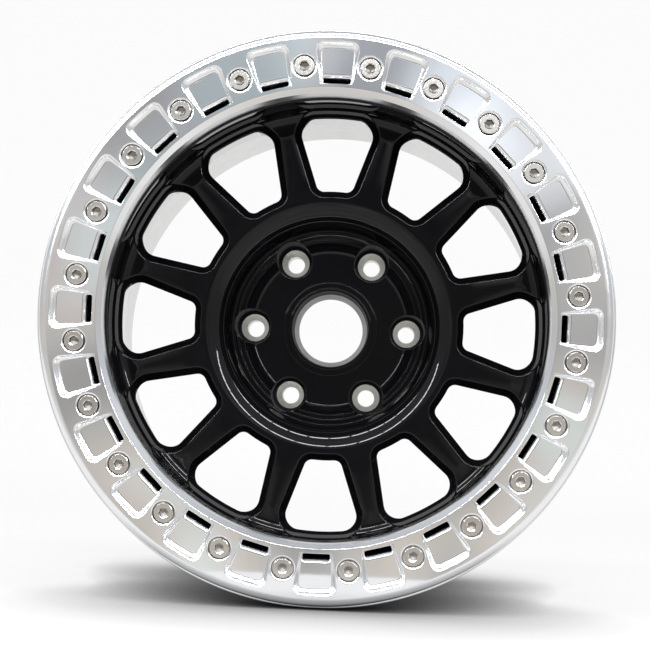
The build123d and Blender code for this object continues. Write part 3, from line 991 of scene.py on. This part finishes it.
def clamp_ring(skin, settings):
    """The ring: flat face with pockets and screw seats, rounded brow, stepped lip, bevelled bore."""
    chamfer_r = RING_BORE_R + RING_CHAMFER
    bevel_y = RING_FACE_Y + RING_CHAMFER_DEPTH
    bevel = [
        (chamfer_r + BEVEL_LAND, RING_FACE_Y, 0),
        (chamfer_r, RING_FACE_Y, RING_CHAMFER_ROUND),
        (RING_BORE_R, bevel_y, 0),
    ]
    corners = [
        (RING_BORE_R, RING_SEAT_Y, 0),
        (SPIGOT_R + SPIGOT_GAP, RING_SEAT_Y, 0),
        (SPIGOT_R + SPIGOT_GAP, FRONT_BEAD_Y, EDGE_ROUND),
        (RING_R, FRONT_BEAD_Y, RING_BACK_ROUND),
        (RING_R, RING_LIP_Y, LIP_ROUND),
        (BROW_R, RING_LIP_Y, LIP_FOOT_ROUND),
        (BROW_R, RING_FACE_Y, settings.brow_round / MM),
        (BROW_R - settings.brow_round / MM - BROW_LAND, RING_FACE_Y, 0),
    ]
    turned(skin, bevel, POLISHED)
    turned(skin, [(RING_BORE_R, bevel_y, 0), (RING_BORE_R, RING_SEAT_Y, 0)], TURNED)
    turned(skin, corners, MILLED)
    edges = [circle(radius, TURN_STEPS)[0] for radius in (bevel[0][0], corners[-1][0])]
    mouths = [ring_pocket(skin, angle, settings) for angle in round_the_axis(POCKET_COUNT)]
    seats = [screw_seat(skin, centre, settings) for centre in screw_places()]
    skin.fill(edges + mouths + seats, NO_POINTS, level_lift(RING_FACE_Y, -1), POLISHED)


def hexagon(flats, steps_per_side):
    """Closed loop of a hexagon."""
    corner_r = flats / sqrt(3)
    corners = [corner_r * np.array((cos(pi / 3 * k), sin(pi / 3 * k))) for k in range(6)]
    points = []
    for k, corner in enumerate(corners):
        step = (corners[(k + 1) % 6] - corner) / steps_per_side
        points.extend(corner + step * i for i in range(steps_per_side))
    return np.array(points)


def clamp_screw(skin, centre, turn, settings):
    """One socket head screw, its socket turned as it was tightened."""
    chamfer = settings.head_chamfer / MM
    flats = settings.socket_flats / MM
    floor_y = RING_FACE_Y + settings.socket_depth / MM
    lead_r = flats / sqrt(3) + SOCKET_LEAD
    seat_y = RING_FACE_Y + SCREW_HEAD_HEIGHT
    corners = [
        (lead_r, RING_FACE_Y, 0),
        (SCREW_HEAD_R - chamfer, RING_FACE_Y, HEAD_ROUND),
        (SCREW_HEAD_R, RING_FACE_Y + chamfer, HEAD_ROUND),
        (SCREW_HEAD_R, seat_y, HEAD_ROUND),
        (SCREW_R, seat_y, EDGE_ROUND),
        (SCREW_R, SCREW_TIP_Y - SCREW_TIP_CHAMFER, EDGE_ROUND),
        (SCREW_R - SCREW_TIP_CHAMFER, SCREW_TIP_Y, 0),
        (SCREW_END_R, SCREW_TIP_Y, 0),
    ]
    for run in section(corners, -1):
        turned_at(skin, centre, run, SCREW_STEPS, HEAD)
    socket = spun(hexagon(flats, SCREW_STEPS // 6), turn)
    start = int(np.argmin(np.abs(np.arctan2(socket[:, 1], socket[:, 0]))))
    socket = np.roll(socket, -start, axis=0)
    mouth, out = circle(lead_r, SCREW_STEPS, centre)
    lead = upright(centre + socket, RING_FACE_Y + SOCKET_LEAD_DEPTH)
    lean = unit(upright(-out, -SOCKET_LEAD_RISE))
    skin.strip([(upright(mouth, RING_FACE_Y), lean), (lead, lean)], HEAD)
    bottom = upright(centre + socket, floor_y)
    sides = np.roll(socket, -1, axis=0) - socket
    inwards = unit(np.stack((-sides[:, 1], np.zeros(len(sides)), sides[:, 0]), 1))
    for i in range(SCREW_STEPS):
        j = (i + 1) % SCREW_STEPS
        numbers = [skin.point(p) for p in (lead[i], lead[j], bottom[j], bottom[i])]
        skin.face(numbers, [inwards[i]] * 4, SOCKET)
    point = np.tile(upright(centre[None, :], floor_y + SOCKET_POINT), (SCREW_STEPS, 1))
    slope = unit(upright(-socket, -2 * flats))
    skin.strip([(bottom, slope), (point, slope)], SOCKET)


class Nodes:
    """The nodes of a new material or world, round the one that it ends with."""

    def __init__(self, owner, end, coordinates="Object"):
        owner.use_nodes = True
        self.owner = owner
        self.tree = owner.node_tree
        self.end = self.tree.nodes[end]
        self.coordinates = coordinates

    def put(self, node, sockets):
        """Give sockets plain values, or wire outputs to them."""
        for key, value in sockets.items():
            if isinstance(value, bpy.types.NodeSocket):
                self.tree.links.new(value, node.inputs[key])
            else:
                node.inputs[key].default_value = value

    def add(self, kind, sockets, **options):
        """A new node with its options set and its sockets filled."""
        node = self.tree.nodes.new(kind)
        for name, value in options.items():
            setattr(node, name, value)
        self.put(node, sockets)
        return node

    def place(self):
        """Coordinates for a texture."""
        return self.add("ShaderNodeTexCoord", {}).outputs[self.coordinates]

    def noise(self, scale, detail=3.0):
        """Soft noise, its scale in cycles per metre on a piece."""
        sockets = {"Vector": self.place(), "Scale": scale, "Detail": detail}
        return self.add("ShaderNodeTexNoise", sockets).outputs["Fac"]

    def turning_lines(self, scale):
        """Fine lines round the wheel's axis, as a lathe leaves them."""
        sockets = {"Vector": self.place(), "Scale": scale, "Distortion": 0.6, "Detail": 2.0}
        return self.add("ShaderNodeTexWave", sockets, wave_type="RINGS", rings_direction="Y").outputs["Fac"]

    def span(self, value, low, high, reach=(0, 1), easing="LINEAR"):
        """A value's reach spread between two others."""
        sockets = {"Value": value, "From Min": reach[0], "From Max": reach[1], "To Min": low, "To Max": high}
        return self.add("ShaderNodeMapRange", sockets, interpolation_type=easing).outputs["Result"]

    def blend(self, value, first, second):
        """A colour between two others."""
        return self.add("ShaderNodeMix", {0: value, 6: first, 7: second}, data_type="RGBA").outputs[2]

    def ramp(self, value, stops):
        """A colour by a value, from stops of position and colour."""
        node = self.add("ShaderNodeValToRGB", {"Fac": value})
        elements = node.color_ramp.elements
        elements.remove(elements[1])
        for k, (position, tint) in enumerate(stops):
            stop = elements[0] if k == 0 else elements.new(position)
            stop.position = position
            stop.color = (*tint, 1)
        return node.outputs["Color"]

    def combine(self, operation, first, second):
        """Outcome of an operation on two values."""
        return self.add("ShaderNodeMath", {0: first, 1: second}, operation=operation).outputs[0]

    def times(self, first, second):
        """Product of two colours."""
        return self.add("ShaderNodeVectorMath", {0: first, 1: second}, operation="MULTIPLY").outputs["Vector"]

    def tone(self, value, first, second):
        """Base colour between two others."""
        self.put(self.end, {"Base Color": self.blend(value, (*first, 1), (*second, 1))})

    def gloss(self, value, low, high):
        """Roughness between two values."""
        self.put(self.end, {"Roughness": self.span(value, low, high)})

    def bump(self, value, strength, height):
        """A shallow relief on the surface."""
        node = self.add("ShaderNodeBump", {"Height": value, "Strength": strength, "Distance": height})
        self.put(self.end, {"Normal": node.outputs["Normal"]})


def surface(name, **sockets):
    """Nodes of a new material, with the plain values of its shader."""
    nodes = Nodes(bpy.data.materials.new(name), "Principled BSDF")
    nodes.put(nodes.end, sockets)
    return nodes


def shade(base, factor):
    """A colour made lighter or darker."""
    return tuple(min(1.0, channel * factor) for channel in base)


def gloss_paint(base):
    """Gloss paint with a little orange peel and faint dust."""
    nodes = surface("gloss black paint", IOR=1.35)
    nodes.tone(nodes.noise(60), base, shade(base, 1.8))
    nodes.gloss(nodes.noise(240, 5), 0.02, 0.06)
    nodes.bump(nodes.noise(420, 2), 0.03, 0.0002)
    return nodes.owner


def satin_paint(base):
    """Thin dull paint, as it falls inside deep holes."""
    nodes = surface("satin black paint", IOR=1.2)
    nodes.tone(nodes.noise(150), base, shade(base, 6.0))
    nodes.gloss(nodes.noise(300, 5), 0.45, 0.6)
    nodes.bump(nodes.noise(900, 3), 0.1, 0.0001)
    return nodes.owner


def machined_metal(base):
    """Bare metal with the fine lines of a lathe."""
    nodes = surface("machined metal", Metallic=1)
    nodes.tone(nodes.noise(90), shade(base, 0.88), base)
    nodes.gloss(nodes.noise(300), 0.32, 0.46)
    nodes.bump(nodes.turning_lines(420), 0.12, 0.0002)
    return nodes.owner


def polished_metal(base, roughness):
    """Polished metal, a little uneven where the buff has passed."""
    nodes = surface("polished aluminium", Metallic=1)
    nodes.tone(nodes.noise(25), shade(base, 0.93), base)
    nodes.gloss(nodes.noise(70, 6), roughness * 0.7, roughness * 1.4)
    nodes.bump(nodes.noise(40, 3), 0.03, 0.0006)
    return nodes.owner


def stainless_steel(base, roughness):
    """Satin steel, finely grained."""
    nodes = surface("stainless steel", Metallic=1)
    nodes.tone(nodes.noise(400, 4), shade(base, 0.85), base)
    nodes.gloss(nodes.noise(700, 4), roughness * 0.8, roughness * 1.3)
    nodes.bump(nodes.noise(1500, 2), 0.06, 0.0001)
    return nodes.owner


class FORGED_OT_wheel(bpy.types.Operator):
    """Build the one-piece wheel: barrel, spokes, bowl and hub"""

    bl_idname = "forged.wheel"
    bl_label = "Build Wheel"

    def execute(self, context):
        settings = context.scene.forged_wheel
        skin = Skin()
        wheel_front(skin, settings)
        wheel_back(skin, settings)
        wheel_centre(skin)
        finishes = (
            gloss_paint(settings.paint),
            machined_metal(settings.bare),
            satin_paint(settings.paint),
            # Darker copy of the bare metal for the nut seats: painted shade
            machined_metal(settings.shaded_seat_metal),
        )
        skin.make("wheel", "forged_wheel", finishes)
        return {"FINISHED"}


class FORGED_OT_ring(bpy.types.Operator):
    """Build the clamp ring with its pockets, drain slots and screw seats"""

    bl_idname = "forged.ring"
    bl_label = "Build Clamp Ring"

    def execute(self, context):
        settings = context.scene.forged_ring
        skin = Skin()
        clamp_ring(skin, settings)
        finishes = (
            polished_metal(settings.metal, settings.roughness),
            machined_metal(settings.metal),
            polished_metal(settings.metal, settings.edge_roughness),
        )
        skin.make("clamp_ring", "beadlock_ring", finishes)
        return {"FINISHED"}


class FORGED_OT_screws(bpy.types.Operator):
    """Build the clamp screws, each tightened to its own angle"""

    bl_idname = "forged.screws"
    bl_label = "Build Screws"

    def execute(self, context):
        settings = context.scene.forged_screws
        skin = Skin()
        draw = random.Random(TIGHTENING_SEED)
        for centre in screw_places():
            clamp_screw(skin, centre, draw.uniform(0, pi / 3), settings)
        steel = stainless_steel(settings.metal, settings.roughness)
        # Painted shade: the socket recess takes a darker copy of the head's steel
        socket = stainless_steel(shade(settings.metal, SOCKET_PAINTED_SHADE), settings.roughness * SOCKET_ROUGHNESS)
        skin.make("clamp_screws", "ring_bolts", (steel, socket))
        return {"FINISHED"}


def floor_material(base):
    """Pale floor, white to the camera and to reflections, that keeps the wheel's shadow; near the wheel a
    painted shadow from ambient occlusion darkens its colour and its glow.
    """
    nodes = Nodes(bpy.data.materials.new("pale floor"), "Material Output")
    nodes.tree.nodes.remove(nodes.tree.nodes["Principled BSDF"])
    # Painted shadow: ambient occlusion darkens the floor's colour near the wheel
    painted_shadow = nodes.add("ShaderNodeAmbientOcclusion", {"Color": (*base, 1), "Distance": CONTACT_REACH})
    matt = nodes.add("ShaderNodeBsdfDiffuse", {"Color": painted_shadow.outputs["Color"]})
    # Painted shadow in the glow: its colour is the occlusion raised to a power
    white = nodes.combine("POWER", painted_shadow.outputs["AO"], CONTACT_POWER)
    glow = nodes.add("ShaderNodeEmission", {"Color": white})
    path = nodes.add("ShaderNodeLightPath", {}).outputs
    seen = nodes.combine("MAXIMUM", path["Is Camera Ray"], path["Is Glossy Ray"])
    seen = nodes.combine("MAXIMUM", seen, path["Is Transmission Ray"])
    part = nodes.combine("MULTIPLY", seen, FLOOR_WHITE)
    mix = nodes.add("ShaderNodeMixShader", {0: part, 1: matt.outputs[0], 2: glow.outputs[0]})
    nodes.put(nodes.end, {"Surface": mix.outputs[0]})
    return nodes.owner


def build_floor(base):
    """Floor under the wheel that sweeps up into a backdrop."""
    level = CAD_BOX[0].z
    profile = [(FLOOR_FRONT_Y, level)]
    for turn in quarter(BEND_STEPS):
        back, up = BACKDROP_BEND * (1 - sin(turn)), BACKDROP_BEND * (1 - cos(turn))
        profile.append((BACKDROP_Y - back, level + up))
    profile.append((BACKDROP_Y, level + BACKDROP_HEIGHT))
    points = [(x, y, z) for y, z in profile for x in (-FLOOR_HALF_WIDTH, FLOOR_HALF_WIDTH)]
    faces = [(2 * k, 2 * k + 1, 2 * k + 3, 2 * k + 2) for k in range(len(profile) - 1)]
    mesh = bpy.data.meshes.new("floor")
    mesh.from_pydata(points, [], faces)
    mesh.shade_smooth()
    mesh.materials.append(floor_material(base))
    floor_object = bpy.data.objects.new("floor", mesh)
    bpy.context.scene.collection.objects.link(floor_object)


def area_lamp(name, place, target, size, power):
    """A rectangular lamp that faces a point."""
    lamp = bpy.data.lights.new(name, "AREA")
    lamp.shape = "RECTANGLE"
    lamp.size, lamp.size_y = size
    lamp.energy = power
    holder = bpy.data.objects.new(name, lamp)
    holder.location = place
    holder.rotation_mode = "QUATERNION"
    holder.rotation_quaternion = (Vector(target) - Vector(place)).to_track_quat("-Z", "Y")
    bpy.context.scene.collection.objects.link(holder)


def build_world():
    """Hall whose light changes with height, uneven in front of the wheel, with pale and dark screens."""
    nodes = Nodes(bpy.data.worlds.new("hall"), "Background", "Generated")
    place = nodes.place()

    def fade(direction, reach, low, high):
        """Level that goes from low to high as a direction is neared."""
        towards = nodes.add("ShaderNodeVectorMath", {0: place, 1: direction}, operation="DOT_PRODUCT")
        return nodes.span(towards.outputs["Value"], low, high, reach, "SMOOTHSTEP")

    height = nodes.add("ShaderNodeSeparateXYZ", {0: place}).outputs["Z"]
    patches = nodes.ramp(nodes.noise(PATCH_SCALE, PATCH_DETAIL), HALL_PATCHES)
    uneven = nodes.blend(fade(MIRROR_DIRECTION, PATCH_REACH, 0, 1), (*HALL_PLAIN, 1), patches)
    hall = nodes.times(nodes.ramp(nodes.span(height, 0, 1, (-1, 1)), HALL_HEIGHTS), uneven)
    for direction, reach, level in HALL_SCREENS:
        hall = nodes.times(hall, fade(direction, reach, 1, level))
    nodes.put(nodes.end, {"Color": hall, "Strength": HALL_STRENGTH})
    bpy.context.scene.world = nodes.owner


def build_lamps(settings):
    """Two rows of lamps under a ceiling in front of the wheel."""
    count = settings.lamp_count
    for row, (y, z, pitch, size) in enumerate(LAMP_ROWS):
        power = settings.lamp_radiance * pi * size[0] * size[1]
        for k in range(count):
            x = (k - (count - 1) / 2) * pitch
            area_lamp(f"lamp {row} {k}", (x, y, z), (x, y, 0), size, power)


def build_camera(settings):
    """Camera low and a little to the right, square to the wheel."""
    camera = bpy.data.cameras.new("camera")
    camera.lens = settings.focal_length
    camera.sensor_width = SENSOR_WIDTH
    pixels_per_metre = settings.focal_length / SENSOR_WIDTH * FRAME_PIXELS / settings.distance
    camera.shift_x = -(settings.aside * pixels_per_metre + AXIS_RIGHT) / FRAME_PIXELS
    camera.shift_y = (settings.drop * pixels_per_metre - AXIS_UP) / FRAME_PIXELS
    holder = bpy.data.objects.new("camera", camera)
    holder.rotation_euler = Euler((pi / 2, -settings.roll, 0))
    offset = Vector((settings.aside, 0, -settings.drop))
    offset.rotate(Euler((0, -settings.roll, 0)))
    holder.location = offset + Vector((0, LIP_Y - settings.distance, 0))
    bpy.context.scene.collection.objects.link(holder)
    bpy.context.scene.camera = holder


class FORGED_OT_stage(bpy.types.Operator):
    """Build the floor, the lamps, the room and the camera"""

    bl_idname = "forged.stage"
    bl_label = "Build Stage"

    def execute(self, context):
        settings = context.scene.forged_stage
        build_floor(settings.floor)
        build_world()
        build_lamps(settings)
        build_camera(settings)
        context.scene.view_settings.view_transform = "Standard"
        return {"FINISHED"}


class FORGED_PT_panel(bpy.types.Panel):
    """Settings and build buttons"""

    bl_label = "Forged Wheel"
    bl_idname = "FORGED_PT_panel"
    bl_space_type = "VIEW_3D"
    bl_region_type = "UI"
    bl_category = "Forged Wheel"

    def draw(self, context):
        for key, _, operator in BUILDS:
            group = getattr(context.scene, key)
            box = self.layout.box()
            for name in group.__annotations__:
                box.prop(group, name)
            box.operator(operator.bl_idname)


# Where the scene keeps each group of settings, and the operator that builds from it
BUILDS = (
    ("forged_wheel", WheelSettings, FORGED_OT_wheel),
    ("forged_ring", RingSettings, FORGED_OT_ring),
    ("forged_screws", ScrewSettings, FORGED_OT_screws),
    ("forged_stage", StageSettings, FORGED_OT_stage),
)


def register():
    """Add the settings, operators and panel."""
    for key, group, operator in BUILDS:
        bpy.utils.register_class(group)
        setattr(bpy.types.Scene, key, PointerProperty(type=group))
        bpy.utils.register_class(operator)
    bpy.utils.register_class(FORGED_PT_panel)


def unregister():
    """Take the panel, operators and settings away."""
    bpy.utils.unregister_class(FORGED_PT_panel)
    for key, group, operator in reversed(BUILDS):
        bpy.utils.unregister_class(operator)
        delattr(bpy.types.Scene, key)
        bpy.utils.unregister_class(group)


def main():
    """Build every piece and the stage."""
    register()
    bpy.ops.forged.wheel()
    bpy.ops.forged.ring()
    bpy.ops.forged.screws()
    bpy.ops.forged.stage()


if __name__ == "__main__":
    main()
